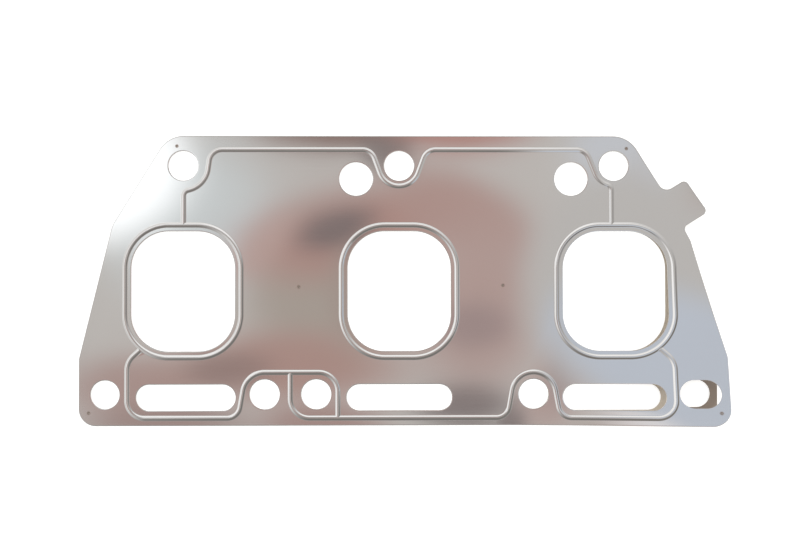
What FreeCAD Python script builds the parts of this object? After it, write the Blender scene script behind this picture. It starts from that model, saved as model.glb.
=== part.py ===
import FreeCAD, Part
import math
import os

from FreeCAD import Vector

# A two-layer steel gasket for a three-port, water-cooled exhaust manifold.
# Both layers are stamped from thin stainless sheet and carry the same network of embossed beads,
# which stand outwards: up on the upper layer, down on the lower one. Small weld spots tie the two
# flat faces together. The spot in the lower right corner has let go, and the upper layer has sprung
# up there, so that corner of it is rolled away from the lower layer.
# Sizes are millimetres. X runs along the row of ports, Y points to the narrow edge, Z is up.
# The origin is under the middle port's column, on the plane that the lower beads stand on.

# Sheet
sheet_thickness = 0.3

# Sealing beads
bead_width = 2.7
bead_crest_width = 0.7
port_bead_height = 0.6
coolant_bead_height = 0.55

# Exhaust ports
port_count = 3
port_pitch = 110.0
port_width = 52.6
port_height = 61.2
port_corner_radius = 19.0
port_y = -5.5
port_bead_distance = 3.2

# Bolt holes in line with the ports, along the narrow edge
top_bolt_y = 58.6
bolt_hole_diameter = 15.2

# Bolt holes along the wide edge
lower_bolt_y = -58.0
outer_port_to_outer_bolt = 39.4
inner_bolt_x = 68.5
locating_hole_diameter = 14.5
locating_slot_width = 14.0
locating_slot_length = 18.9

# Coolant passages
round_passage_diameter = 17.1
round_passage_shift = 22.0
round_passage_drop = 6.7
cross_passage_x = -42.3
cross_passage_diameter = 15.2
slot_y = -59.6
slot_height = 13.3
middle_slot_length = 53.7
inner_bolt_to_side_slot = 14.8
side_slot_to_outer_bolt = 15.7

# Outline
side_margin = 13.3
top_margin = 15.3
bottom_margin = 15.9
outer_port_to_top_corner = 7.7
outer_port_to_shoulder = 36.0
shoulder_y = 28.2
hip_y = -39.8
top_corner_radius = 14.5
bottom_corner_radius = 8.7
shoulder_radius = 12.0
hip_radius = 9.0

# Locating tab on the right shoulder, square to the steep edge
tab_foot_past_shoulder = 0.75
tab_width = 20.2
tab_reach = 12.6
tab_upper_corner_radius = 2.4
tab_lower_corner_radius = 2.9
tab_upper_notch_radius = 4.5
tab_lower_notch_radius = 2.6
tab_relief_depth = 1.9
tab_relief_drop = 8.6

# Bead network that closes in the coolant area
top_line_drop = 7.1
bottom_line_rise = 3.9
top_left_bolt_bead_radius = 12.8
top_middle_bolt_bead_radius = 10.4
top_right_bolt_bead_radius = 10.2
lower_bolt_bead_radius = 11.2
top_left_bolt_lean = 8.0
top_middle_bolt_lean = 20.0
top_right_bolt_lean = 22.0
lower_bolt_lean = 10.0
run_out_radius = 6.6
link_bend_radius = 3.0
left_link_inset = 0.2
right_link_inset = 1.2
side_line_to_outer_bolt = 11.1
side_line_corner_radius = 9.0
side_line_top_y = -41.4
outer_port_to_side_foot = 22.0
side_foot_y = -35.5
side_foot_bend_radius = 10.0
cross_passage_line_x = -31.3
stub_line_x = -55.5
loop_corner_radius = 9.8

# Weld spots, each placed from the corner or the pair of ports that it is nearest to
weld_width = 1.6
weld_sides = 8
left_top_weld_inset = 4.5
left_top_weld_drop = 5.3
right_top_weld_inset = 1.1
right_top_weld_drop = 6.4
left_middle_weld_shift = 3.8
left_middle_weld_rise = 2.2
right_middle_weld_shift = -2.0
right_middle_weld_rise = 2.9
left_bottom_weld_inset = 5.1
right_bottom_weld_inset = 4.3
bottom_weld_rise = 6.6

# The sprung corner of the upper layer rolls up about an axis in the plane of the sheet
roll_direction = -29.8
roll_start = 78.5
roll_radius = 241.0
roll_station_spacing = 6.0

# A run shorter than this is left out
shortest_run = 0.001

# Levels of the stack, from the plane that the lower beads stand on
lower_face_z = port_bead_height
middle_z = lower_face_z + sheet_thickness

# Places that follow from the sizes above
outer_port_x = port_pitch * (port_count - 1) / 2
outer_bolt_x = outer_port_x + outer_port_to_outer_bolt
top_corner_x = outer_port_x + outer_port_to_top_corner
shoulder_x = outer_port_x + outer_port_to_shoulder
side_foot_x = outer_port_x + outer_port_to_side_foot
left_link_x = -outer_port_x + left_link_inset
right_link_x = outer_port_x - right_link_inset
half_width = outer_bolt_x + side_margin
top_edge_y = top_bolt_y + top_margin
bottom_edge_y = lower_bolt_y - bottom_margin
top_line_y = top_edge_y - top_line_drop
bottom_line_y = bottom_edge_y + bottom_line_rise
loop_line_y = lower_bolt_y + lower_bolt_bead_radius
side_line_x = outer_bolt_x - side_line_to_outer_bolt
side_slot_inner_end = inner_bolt_x + inner_bolt_to_side_slot
side_slot_outer_end = outer_bolt_x - side_slot_to_outer_bolt
side_slot_length = side_slot_outer_end - side_slot_inner_end
side_slot_x = (side_slot_inner_end + side_slot_outer_end) / 2

port_centres = [
    Vector(index * port_pitch - outer_port_x, port_y, 0)
    for index in range(port_count)
]
top_bolts = [Vector(centre.x, top_bolt_y, 0) for centre in port_centres]
round_passages = [
    top_bolts[1] - Vector(round_passage_shift, round_passage_drop, 0),
    top_bolts[2] - Vector(round_passage_shift, round_passage_drop, 0),
]
between_ports = port_pitch / 2
bottom_weld_y = bottom_edge_y + bottom_weld_rise
sound_welds = [
    Vector(-top_corner_x + left_top_weld_inset, top_edge_y - left_top_weld_drop, 0),
    Vector(top_corner_x - right_top_weld_inset, top_edge_y - right_top_weld_drop, 0),
    Vector(-between_ports + left_middle_weld_shift, port_y + left_middle_weld_rise, 0),
    Vector(between_ports + right_middle_weld_shift, port_y + right_middle_weld_rise, 0),
    Vector(-half_width + left_bottom_weld_inset, bottom_weld_y, 0),
]
broken_weld = Vector(half_width - right_bottom_weld_inset, bottom_weld_y, 0)


class Line:
    """A straight run of an outline or of a bead."""

    def __init__(self, start, end):
        self.start = start
        self.end = end

    def length(self):
        return (self.end - self.start).Length

    def point(self, share):
        return self.start + (self.end - self.start) * share

    def side(self, share):
        """The direction square to the run, in the sheet."""
        along = (self.end - self.start).normalize()
        return Vector(-along.y, along.x, 0)

    def edge(self):
        return Part.LineSegment(self.start, self.end).toShape()


class Arc:
    """A round run about a centre, from one angle to another in radians."""

    def __init__(self, centre, radius, first, last):
        self.centre = centre
        self.radius = radius
        self.first = first
        self.last = last
        self.start = self.point(0.0)
        self.end = self.point(1.0)

    def length(self):
        return self.radius * abs(self.last - self.first)

    def outward(self, share):
        angle = self.first + (self.last - self.first) * share
        return Vector(math.cos(angle), math.sin(angle), 0)

    def point(self, share):
        return self.centre + self.outward(share) * self.radius

    def side(self, share):
        """The direction square to the run, in the sheet, to its left."""
        turn = -1.0 if self.last > self.first else 1.0
        return self.outward(share) * turn

    def edge(self):
        return Part.Arc(self.start, self.point(0.5), self.end).toShape()


def rounded(corners, closed):
    """Runs through the corners, each given as a place and the radius of its rounding."""
    count = len(corners)
    arcs = {}
    for index, (place, radius) in enumerate(corners):
        if radius <= 0 or (not closed and index in (0, count - 1)):
            continue
        before = (corners[index - 1][0] - place).normalize()
        after = (corners[(index + 1) % count][0] - place).normalize()
        opening = before.getAngle(after)
        reach = radius / math.tan(opening / 2)
        centre = place + (before + after).normalize() * (radius / math.sin(opening / 2))
        first_arm = place + before * reach - centre
        last_arm = place + after * reach - centre
        first = math.atan2(first_arm.y, first_arm.x)
        turn = math.atan2(first_arm.cross(last_arm).z, first_arm.dot(last_arm))
        arcs[index] = Arc(centre, radius, first, first + turn)
    runs = []
    for index in range(count if closed else count - 1):
        following = (index + 1) % count
        start = arcs[index].end if index in arcs else corners[index][0]
        end = arcs[following].start if following in arcs else corners[following][0]
        runs.append(Line(start, end))
        if following in arcs:
            runs.append(arcs[following])
    return runs


def stadium(centre, length, height):
    """A slot with round ends along X."""
    radius = height / 2
    reach = length / 2 - radius
    right = centre + Vector(reach, 0, 0)
    left = centre - Vector(reach, 0, 0)
    rise = Vector(0, radius, 0)
    return [
        Line(left - rise, right - rise),
        Arc(right, radius, -math.pi / 2, math.pi / 2),
        Line(right + rise, left + rise),
        Arc(left, radius, math.pi / 2, 3 * math.pi / 2),
    ]


def circle(centre, diameter):
    """A round hole, in four quarters."""
    quarter = math.pi / 2
    return [Arc(centre, diameter / 2, quarter * n, quarter * (n + 1)) for n in range(4)]


def rounded_rectangle(centre, width, height, radius):
    corners = []
    for x_sign, y_sign in ((-1, -1), (1, -1), (1, 1), (-1, 1)):
        corners.append((centre + Vector(x_sign * width / 2, y_sign * height / 2, 0), radius))
    return rounded(corners, True)


# Outlines of the sheet and of what is punched out of it

def steep_edge_direction():
    """Down the right steep edge, from the top corner to the shoulder."""
    return (Vector(shoulder_x, shoulder_y, 0) - Vector(top_corner_x, top_edge_y, 0)).normalize()


def tab_corners():
    """Corners of the locating tab, down the right edge."""
    down = steep_edge_direction()
    out = Vector(-down.y, down.x, 0)
    foot = Vector(shoulder_x, shoulder_y, 0) + down * tab_foot_past_shoulder
    root = foot - down * tab_width
    relief = foot - out * tab_relief_depth
    slant = (Vector(half_width, hip_y, 0) - Vector(shoulder_x, shoulder_y, 0)).normalize()
    back_on_edge = Vector(shoulder_x, shoulder_y, 0) + slant * tab_relief_drop
    return [
        (root, tab_upper_notch_radius),
        (root + out * tab_reach, tab_upper_corner_radius),
        (foot + out * tab_reach, tab_lower_corner_radius),
        (relief, tab_lower_notch_radius),
        (back_on_edge, 0),
    ]


def sheet_outline(with_tab):
    """The blank's edge, taken clockwise from the bottom left corner."""
    left_side = [
        (Vector(-half_width, bottom_edge_y, 0), bottom_corner_radius),
        (Vector(-half_width, hip_y, 0), hip_radius),
        (Vector(-shoulder_x, shoulder_y, 0), shoulder_radius),
        (Vector(-top_corner_x, top_edge_y, 0), top_corner_radius),
    ]
    right_side = [(Vector(top_corner_x, top_edge_y, 0), top_corner_radius)]
    if with_tab:
        right_side += tab_corners()
    else:
        right_side.append((Vector(shoulder_x, shoulder_y, 0), shoulder_radius))
    right_side.append((Vector(half_width, hip_y, 0), hip_radius))
    right_side.append((Vector(half_width, bottom_edge_y, 0), bottom_corner_radius))
    return rounded(left_side + right_side, True)


def punched_holes():
    holes = []
    for centre in port_centres:
        holes.append(rounded_rectangle(centre, port_width, port_height, port_corner_radius))
    for centre in top_bolts:
        holes.append(circle(centre, bolt_hole_diameter))
    for x in (-inner_bolt_x, inner_bolt_x):
        holes.append(circle(Vector(x, lower_bolt_y, 0), bolt_hole_diameter))
    holes.append(circle(Vector(-outer_bolt_x, lower_bolt_y, 0), locating_hole_diameter))
    slot_centre = Vector(outer_bolt_x, lower_bolt_y, 0)
    holes.append(stadium(slot_centre, locating_slot_length, locating_slot_width))
    for centre in round_passages:
        holes.append(circle(centre, round_passage_diameter))
    holes.append(circle(Vector(cross_passage_x, lower_bolt_y, 0), cross_passage_diameter))
    holes.append(stadium(Vector(0, slot_y, 0), middle_slot_length, slot_height))
    for x in (-side_slot_x, side_slot_x):
        holes.append(stadium(Vector(x, slot_y, 0), side_slot_length, slot_height))
    return holes


# Routes of the beads

def run_out(line_y, bolt, radius, lean, side):
    """The runs from a level line to the circle round a bolt hole, and the angle where they meet it.

    side is -1 or 1 for the side of the hole. lean is how far the run between the two bends leans
    from square to the line, in degrees.
    """
    toward_line = 1 if line_y > bolt.y else -1
    angle = math.radians(lean)
    outward = Vector(side * math.cos(angle), -toward_line * math.sin(angle), 0)
    along = Vector(side * math.sin(angle), toward_line * math.cos(angle), 0)
    rise = abs(line_y - bolt.y) - run_out_radius + (radius + run_out_radius) * math.sin(angle)
    length = rise / math.cos(angle)
    centre = bolt + outward * (radius + run_out_radius) + along * length
    level = toward_line * math.pi / 2
    inward = math.atan2(-outward.y, -outward.x)
    bend = Arc(centre, run_out_radius, level, level + math.remainder(inward - level, 2 * math.pi))
    meeting = bolt + outward * radius
    if side < 0:
        tip = math.pi + toward_line * angle
    else:
        tip = math.pi * (1 + toward_line) - toward_line * angle
    return [bend, Line(bend.end, meeting)], tip


def backwards(runs):
    """The same runs taken from their far end."""
    turned = []
    for run in reversed(runs):
        if isinstance(run, Line):
            turned.append(Line(run.end, run.start))
        else:
            turned.append(Arc(run.centre, run.radius, run.last, run.first))
    return turned


def link_to_port(x, bolt, radius, side):
    """The straight run and the bend that join a bolt's bead to the bead of the port below it.

    side is the side on which the bead goes on round the bolt. The angle where the bend meets the
    circle round the bolt is given too.
    """
    across = x + side * link_bend_radius - bolt.x
    drop = math.sqrt((radius + link_bend_radius) ** 2 - across ** 2)
    centre = Vector(x + side * link_bend_radius, bolt.y - drop, 0)
    arm = bolt - centre
    upper = math.atan2(arm.y, arm.x)
    level = math.pi if side > 0 else 0.0
    bend = Arc(centre, link_bend_radius, level, level + math.remainder(upper - level, 2 * math.pi))
    bead_top_y = port_y + port_height / 2 + port_bead_distance
    run = Line(Vector(x, bead_top_y, 0), bend.start)
    tip = math.atan2(-arm.y, -arm.x) % (2 * math.pi)
    return [run, bend], tip


def top_route():
    """From the left port up round its bolt, along the narrow edge and down to the right port."""
    left, middle, right = top_bolts
    left_radius = top_left_bolt_bead_radius
    middle_radius = top_middle_bolt_bead_radius
    right_radius = top_right_bolt_bead_radius
    up, up_tip = link_to_port(left_link_x, left, left_radius, 1)
    away, away_tip = run_out(top_line_y, left, left_radius, top_left_bolt_lean, 1)
    enter, enter_tip = run_out(top_line_y, middle, middle_radius, top_middle_bolt_lean, -1)
    leave, leave_tip = run_out(top_line_y, middle, middle_radius, top_middle_bolt_lean, 1)
    last, last_tip = run_out(top_line_y, right, right_radius, top_right_bolt_lean, -1)
    down, down_tip = link_to_port(right_link_x, right, right_radius, -1)
    runs = up + [Arc(left, left_radius, up_tip, away_tip)] + backwards(away)
    runs.append(Line(runs[-1].end, enter[0].start))
    runs += enter + [Arc(middle, middle_radius, enter_tip, leave_tip)] + backwards(leave)
    runs.append(Line(runs[-1].end, last[0].start))
    return runs + last + [Arc(right, right_radius, last_tip, down_tip)] + backwards(down)


def side_line(side):
    """From a side port's bead down the outer side to the bottom line."""
    corners = [
        (Vector(side * side_foot_x, side_foot_y, 0), 0),
        (Vector(side * side_line_x, side_line_top_y, 0), side_foot_bend_radius),
        (Vector(side * side_line_x, bottom_line_y, 0), side_line_corner_radius),
        (Vector(side * side_slot_x, bottom_line_y, 0), 0),
    ]
    return rounded(corners, False)


def bottom_left_route():
    """From the left port to the cross passage, closing in the left slot."""
    runs = side_line(-1)
    bolt = Vector(-inner_bolt_x, lower_bolt_y, 0)
    rise, tip = run_out(bottom_line_y, bolt, lower_bolt_bead_radius, lower_bolt_lean, -1)
    rise.append(Arc(bolt, lower_bolt_bead_radius, tip, math.pi / 2))
    loop_corners = [
        (rise[-1].end, 0),
        (Vector(cross_passage_line_x, loop_line_y, 0), loop_corner_radius),
        (Vector(cross_passage_line_x, bottom_line_y, 0), 0),
    ]
    join = Line(runs[-1].end, rise[0].start)
    return runs + [join] + rise + rounded(loop_corners, False)


def bottom_right_route():
    """From the loop line past the middle slot and the right slot to the right port."""
    stub_corners = [
        (Vector(stub_line_x, loop_line_y, 0), 0),
        (Vector(stub_line_x, bottom_line_y, 0), loop_corner_radius),
        (Vector(0, bottom_line_y, 0), 0),
    ]
    bolt = Vector(inner_bolt_x, lower_bolt_y, 0)
    hump, first_tip = run_out(bottom_line_y, bolt, lower_bolt_bead_radius, lower_bolt_lean, -1)
    leave, last_tip = run_out(bottom_line_y, bolt, lower_bolt_bead_radius, lower_bolt_lean, 1)
    hump.append(Arc(bolt, lower_bolt_bead_radius, first_tip, last_tip))
    hump += backwards(leave)
    stub = rounded(stub_corners, False)
    outer = side_line(1)
    first_join = Line(stub[-1].end, hump[0].start)
    second_join = Line(hump[-1].end, outer[-1].end)
    return stub + [first_join] + hump + [second_join] + outer


def port_beads():
    beads = []
    for centre in port_centres:
        beads += rounded_rectangle(
            centre,
            port_width + 2 * port_bead_distance,
            port_height + 2 * port_bead_distance,
            port_corner_radius + port_bead_distance)
    return beads


def coolant_beads():
    return top_route() + bottom_left_route() + bottom_right_route()


# The rolled corner

def roll_axes():
    """Unit directions across and along the axis that the sprung corner rolls about."""
    angle = math.radians(roll_direction)
    across = Vector(math.cos(angle), math.sin(angle), 0)
    return across, Vector(-across.y, across.x, 0)


def past_roll_start(place):
    across, along = roll_axes()
    return place.dot(across) - roll_start


def rolled(place):
    """Where a place on the flat blank goes when the corner rolls up, and the sheet's slope there."""
    across, along = roll_axes()
    past = past_roll_start(place)
    if past <= 0:
        return place, 0.0
    slope = past / roll_radius
    shift = roll_radius * math.sin(slope) - past
    lift = roll_radius * (1 - math.cos(slope))
    return place + across * shift + Vector(0, 0, lift), slope


def rolled_edge(run):
    """The run as it lies on the rolled sheet, seen from above."""
    shares = [n / 4 for n in range(5)]
    if max(past_roll_start(run.point(share)) for share in shares) <= 0:
        return run.edge()
    count = max(4, round(run.length() / roll_station_spacing))
    places = []
    for index in range(count + 1):
        place, slope = rolled(run.point(index / count))
        places.append(Vector(place.x, place.y, 0))
    curve = Part.BSplineCurve()
    curve.interpolate(places)
    return curve.toShape()


def flat_edge(run):
    return run.edge()


# Solids

def prism(runs, edge_maker, bottom, top):
    """The upright solid inside a closed run of edges."""
    edges = [edge_maker(run) for run in runs if run.length() > shortest_run]
    face = Part.Face(Part.Wire(Part.__sortEdges__(edges)))
    face.translate(Vector(0, 0, bottom))
    return face.extrude(Vector(0, 0, top - bottom))


def flat_sheet(bottom):
    slab_top = bottom + sheet_thickness
    sheet = prism(sheet_outline(False), flat_edge, bottom, slab_top)
    holes = [prism(hole, flat_edge, bottom, slab_top) for hole in punched_holes()]
    return sheet.cut(holes)


def rolled_slab(bottom):
    """A slab as thick as the sheet, flat up to the roll and curved past it."""
    across, along = roll_axes()
    reach = 2 * half_width
    sweep = (reach - roll_start) / roll_radius
    rise = Vector(0, 0, 1)

    def place(past, level):
        if past <= 0:
            return across * (roll_start + past) + rise * level
        slope = past / roll_radius
        from_axis = roll_radius - (level - bottom)
        return (across * (roll_start + from_axis * math.sin(slope))
                + rise * (bottom + roll_radius - from_axis * math.cos(slope)))

    end = sweep * roll_radius
    top = bottom + sheet_thickness
    edges = [
        Part.LineSegment(place(-reach - roll_start, bottom), place(0, bottom)).toShape(),
        Part.Arc(place(0, bottom), place(end / 2, bottom), place(end, bottom)).toShape(),
        Part.LineSegment(place(end, bottom), place(end, top)).toShape(),
        Part.Arc(place(end, top), place(end / 2, top), place(0, top)).toShape(),
        Part.LineSegment(place(0, top), place(-reach - roll_start, top)).toShape(),
        Part.LineSegment(place(-reach - roll_start, top), place(-reach - roll_start, bottom)).toShape(),
    ]
    face = Part.Face(Part.Wire(edges))
    face.translate(along * -reach)
    return face.extrude(along * (2 * reach))


def rolled_sheet(bottom):
    highest = bottom + half_width
    slab = rolled_slab(bottom)
    blank = slab.common(prism(sheet_outline(True), rolled_edge, bottom - 1, highest))
    holes = [prism(hole, rolled_edge, bottom - 1, highest) for hole in punched_holes()]
    return blank.cut(holes)


def bead_profile(height, bottom_level, foot_level):
    """Half widths and levels of a bead's section, above the face that it rises from.

    The flanks are straight, and run on below the face down to bottom_level.
    """
    slope = (bead_width - bead_crest_width) / 2 / height
    foot_half = bead_width / 2 + (foot_level - bottom_level) * slope
    return [
        (-foot_half, bottom_level),
        (foot_half, bottom_level),
        (bead_crest_width / 2, foot_level + height),
        (-bead_crest_width / 2, foot_level + height),
    ]


def section_at(run, share, profile, base_z, direction, rolls):
    """The bead's section as a wire, square to the run."""
    place = run.point(share)
    side = run.side(share)
    normal = Vector(0, 0, 1)
    if rolls:
        across, along = roll_axes()
        place, slope = rolled(place)
        tilted = across * math.cos(slope) + normal * math.sin(slope)
        side = tilted * side.dot(across) + along * side.dot(along)
        normal = normal * math.cos(slope) - across * math.sin(slope)
    corners = []
    for offset, level in profile:
        corners.append(place + Vector(0, 0, base_z) + side * offset + normal * (level * direction))
    return Part.makePolygon(corners + [corners[0]])


def bead_piece(run, profile, base_z, direction, rolls):
    """The solid that one run of a bead sweeps."""
    rolls = rolls and max(past_roll_start(run.point(share)) for share in (0, 0.5, 1)) > 0
    start = section_at(run, 0, profile, base_z, direction, rolls)
    if rolls:
        count = max(4, round(run.length() / roll_station_spacing))
        sections = [
            section_at(run, index / count, profile, base_z, direction, rolls)
            for index in range(count + 1)
        ]
        return Part.makeLoft(sections, True, False)
    if isinstance(run, Line):
        return Part.Face(start).extrude(run.end - run.start)
    turn = math.degrees(run.last - run.first)
    axis = Vector(0, 0, 1 if turn > 0 else -1)
    return Part.Face(start).revolve(run.centre, axis, abs(turn))


def bead_solids(base_z, direction, lowest, foot, rolls):
    """Every run of the bead network as a solid with the given section."""
    solids = []
    for runs, height in ((port_beads(), port_bead_height), (coolant_beads(), coolant_bead_height)):
        profile = bead_profile(height, lowest, foot)
        for run in runs:
            if run.length() > shortest_run:
                solids.append(bead_piece(run, profile, base_z, direction, rolls))
    return solids


def embossed(sheet, inner_z, direction, rolls):
    """The sheet with its beads: a ridge on the outer face and the matching groove inside.

    inner_z is the level of the face that meets the other layer, and direction is 1 where the beads
    rise and -1 where they go down.
    """
    ridges = bead_solids(inner_z, direction, sheet_thickness / 2, sheet_thickness, rolls)
    grooves = bead_solids(inner_z, direction, -sheet_thickness / 2, 0, rolls)
    solid = sheet.fuse(ridges)
    solid = solid.cut(grooves)
    return solid.removeSplitter()


def weld_outline(foot, normal):
    """The foot of a nugget as a face, eight-sided because it is so small, square to the normal."""
    across, along = roll_axes()
    first_arm = along * (weld_width / 2)
    second_arm = along.cross(normal) * (weld_width / 2)
    corners = []
    for index in range(weld_sides + 1):
        angle = 2 * math.pi * index / weld_sides
        corners.append(foot + first_arm * math.cos(angle) + second_arm * math.sin(angle))
    return Part.Face(Part.makePolygon(corners))


def weld_nugget(place, bottom, height):
    """A nugget that fills the flat sheets from the given level up."""
    normal = Vector(0, 0, 1)
    return weld_outline(place + normal * bottom, normal).extrude(normal * height)


def rolled_nugget(place, bottom):
    """The half of a nugget that stayed in the sprung corner of the upper layer."""
    across, along = roll_axes()
    spot, slope = rolled(place)
    normal = Vector(0, 0, 1) * math.cos(slope) - across * math.sin(slope)
    foot = spot + Vector(0, 0, bottom)
    return weld_outline(foot, normal).extrude(normal * sheet_thickness)


def main():
    os.makedirs("parts", exist_ok=True)
    nuggets = [weld_nugget(place, lower_face_z, 2 * sheet_thickness) for place in sound_welds]
    nuggets.append(weld_nugget(broken_weld, lower_face_z, sheet_thickness))
    nuggets.append(rolled_nugget(broken_weld, middle_z))
    lower = embossed(flat_sheet(lower_face_z), middle_z, -1, False).cut(nuggets)
    upper = embossed(rolled_sheet(middle_z), middle_z, 1, True).cut(nuggets)
    shapes = {
        "upper_layer": upper,
        "lower_layer": lower,
        "spot_welds": Part.makeCompound(nuggets),
    }
    for name, shape in shapes.items():
        shape.exportStep("parts/" + name + ".step")


main()
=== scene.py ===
import cmath
import logging
import math
from dataclasses import dataclass, field
from enum import Enum

import bmesh
import bpy
import numpy as np
from mathutils import Matrix, Vector
from mathutils.geometry import delaunay_2d_cdt


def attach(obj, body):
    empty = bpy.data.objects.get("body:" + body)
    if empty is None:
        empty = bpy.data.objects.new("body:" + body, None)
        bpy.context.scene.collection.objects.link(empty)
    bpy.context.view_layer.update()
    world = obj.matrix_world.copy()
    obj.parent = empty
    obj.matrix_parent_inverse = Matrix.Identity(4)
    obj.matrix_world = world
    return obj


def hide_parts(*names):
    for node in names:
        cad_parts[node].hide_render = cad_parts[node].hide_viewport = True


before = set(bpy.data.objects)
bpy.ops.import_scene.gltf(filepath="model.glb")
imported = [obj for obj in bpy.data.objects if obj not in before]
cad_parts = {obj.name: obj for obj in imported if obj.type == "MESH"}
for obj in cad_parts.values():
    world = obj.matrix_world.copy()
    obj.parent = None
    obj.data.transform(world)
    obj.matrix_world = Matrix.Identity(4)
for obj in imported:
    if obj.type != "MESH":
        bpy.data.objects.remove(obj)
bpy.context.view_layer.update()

# The looks of a two-layer steel gasket for a three-port, water-cooled exhaust manifold,
# photographed from above on white paper. Sizes are millimetres and levels are above the plane that
# the lower beads stand on, as in the CAD source. A place on the flat blank is a complex number, X
# its real part and Y its imaginary part. Blender's own units are metres.

log = logging.getLogger("gasket")
MM = 0.001
SHEET_THICKNESS = 0.3
INNER_LEVEL = 0.9
LEAST_RUN = 0.001
HUNDREDTH = 0.01
WHITE = (1.0, 1.0, 1.0, 1.0)

Tree = bpy.types.NodeTree
Socket = bpy.types.NodeSocket
Tone = Socket | tuple | str


class LayerSide(Enum):
    """Which of the two layers a sheet is, as the way that its beads stand."""

    UPPER = 1
    LOWER = -1


class End(Enum):
    """An end of the gasket, as a sign along X."""

    LEFT = -1
    RIGHT = 1


# Runs of outlines and of beads

@dataclass(frozen=True)
class Straight:
    """A straight run between two places."""

    start: complex
    end: complex

    def point(self, share: float) -> complex:
        """The place at a share of the run."""
        return self.start + (self.end - self.start) * share

    def side(self, share: float) -> complex:
        """The direction square to the run, to its left."""
        return 1j * (self.end - self.start) / abs(self.end - self.start)

    def steps(self, chord_error: float) -> int:
        """A straight run needs one step."""
        return 1

    def reversed(self) -> "Straight":
        """The same run from its far end."""
        return Straight(self.end, self.start)

    def distance(self, places: np.ndarray) -> np.ndarray:
        """How far each place is from the run."""
        span = self.end - self.start
        share = np.clip(((places - self.start) * np.conj(span)).real / abs(span) ** 2, 0.0, 1.0)
        return np.abs(places - self.start - share * span)


@dataclass(frozen=True)
class Bend:
    """A round run about a centre, from one angle to another in radians."""

    centre: complex
    radius: float
    first: float
    last: float

    @property
    def start(self) -> complex:
        """Where the bend begins."""
        return self.point(0.0)

    @property
    def end(self) -> complex:
        """Where the bend ends."""
        return self.point(1.0)

    def outward(self, share: float) -> complex:
        """The direction away from the centre at a share of the run."""
        return cmath.exp(1j * (self.first + (self.last - self.first) * share))

    def point(self, share: float) -> complex:
        """The place at a share of the run."""
        return self.centre + self.radius * self.outward(share)

    def side(self, share: float) -> complex:
        """The direction square to the run, to its left."""
        return self.outward(share) * (-1.0 if self.last > self.first else 1.0)

    def steps(self, chord_error: float) -> int:
        """How many chords keep within the given error of the bend."""
        step = 2.0 * math.acos(1.0 - min(chord_error / self.radius, 1.0))
        return max(2, math.ceil(abs(self.last - self.first) / step))

    def reversed(self) -> "Bend":
        """The same run from its far end."""
        return Bend(self.centre, self.radius, self.last, self.first)

    def distance(self, places: np.ndarray) -> np.ndarray:
        """How far each place is from the run."""
        middle = cmath.exp(-0.5j * (self.first + self.last))
        turned = np.abs(np.angle((places - self.centre) * middle))
        beside = np.abs(np.abs(places - self.centre) - self.radius)
        past_ends = np.minimum(np.abs(places - self.start), np.abs(places - self.end))
        return np.where(turned <= abs(self.last - self.first) / 2.0, beside, past_ends)


Run = Straight | Bend


def unit(arm: complex) -> complex:
    """The direction of an arm."""
    return arm / abs(arm)


def rounded(corners: list[tuple[complex, float]], closed: bool) -> list[Run]:
    """Runs through corners.

    Args:
        corners: The place of each corner and the radius of its rounding.
        closed: Whether the last corner joins the first.

    Returns:
        The straight runs and bends in order.
    """
    count = len(corners)
    bends: dict[int, Bend] = {}
    for index, (place, radius) in enumerate(corners):
        if radius <= 0 or (not closed and index in (0, count - 1)):
            continue
        before = unit(corners[index - 1][0] - place)
        after = unit(corners[(index + 1) % count][0] - place)
        opening = abs(cmath.phase(after / before))
        reach = radius / math.tan(opening / 2)
        centre = place + unit(before + after) * (radius / math.sin(opening / 2))
        first_arm = place + before * reach - centre
        last_arm = place + after * reach - centre
        first = cmath.phase(first_arm)
        bends[index] = Bend(centre, radius, first, first + cmath.phase(last_arm / first_arm))
    runs: list[Run] = []
    for index in range(count if closed else count - 1):
        following = (index + 1) % count
        start = bends[index].end if index in bends else corners[index][0]
        end = bends[following].start if following in bends else corners[following][0]
        if abs(end - start) > LEAST_RUN:
            runs.append(Straight(start, end))
        if following in bends:
            runs.append(bends[following])
    return runs


def circle(centre: complex, diameter: float) -> list[Run]:
    """A round hole, in four quarters."""
    quarter = math.pi / 2
    return [Bend(centre, diameter / 2, quarter * n, quarter * (n + 1)) for n in range(4)]


def stadium(centre: complex, length: float, height: float) -> list[Run]:
    """A slot with round ends along X."""
    radius = height / 2
    left, right = centre - (length / 2 - radius), centre + (length / 2 - radius)
    rise = 1j * radius
    return [
        Straight(left - rise, right - rise),
        Bend(right, radius, -math.pi / 2, math.pi / 2),
        Straight(right + rise, left + rise),
        Bend(left, radius, math.pi / 2, 3 * math.pi / 2),
    ]


def rounded_rectangle(centre: complex, width: float, height: float, radius: float) -> list[Run]:
    """A rectangle with round corners, taken anticlockwise."""
    signs = (complex(-1, -1), complex(1, -1), complex(1, 1), complex(-1, 1))
    corners = [
        (centre + complex(sign.real * width / 2, sign.imag * height / 2), radius) for sign in signs
    ]
    return rounded(corners, True)


# What is punched, embossed and welded

@dataclass(frozen=True)
class Ports:
    """The three exhaust ports."""

    count: int = 3
    pitch: float = 110.0
    width: float = 52.6
    height: float = 61.2
    corner_radius: float = 19.0
    y: float = -5.5

    def centres(self) -> list[complex]:
        """The middle of each port, from the left."""
        return [complex((n - (self.count - 1) / 2) * self.pitch, self.y) for n in range(self.count)]

    def ring(self, distance: float) -> list[list[Run]]:
        """An outline round each port, at a distance from its edge."""
        return [
            rounded_rectangle(centre, self.width + 2 * distance, self.height + 2 * distance,
                              self.corner_radius + distance)
            for centre in self.centres()
        ]


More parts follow.
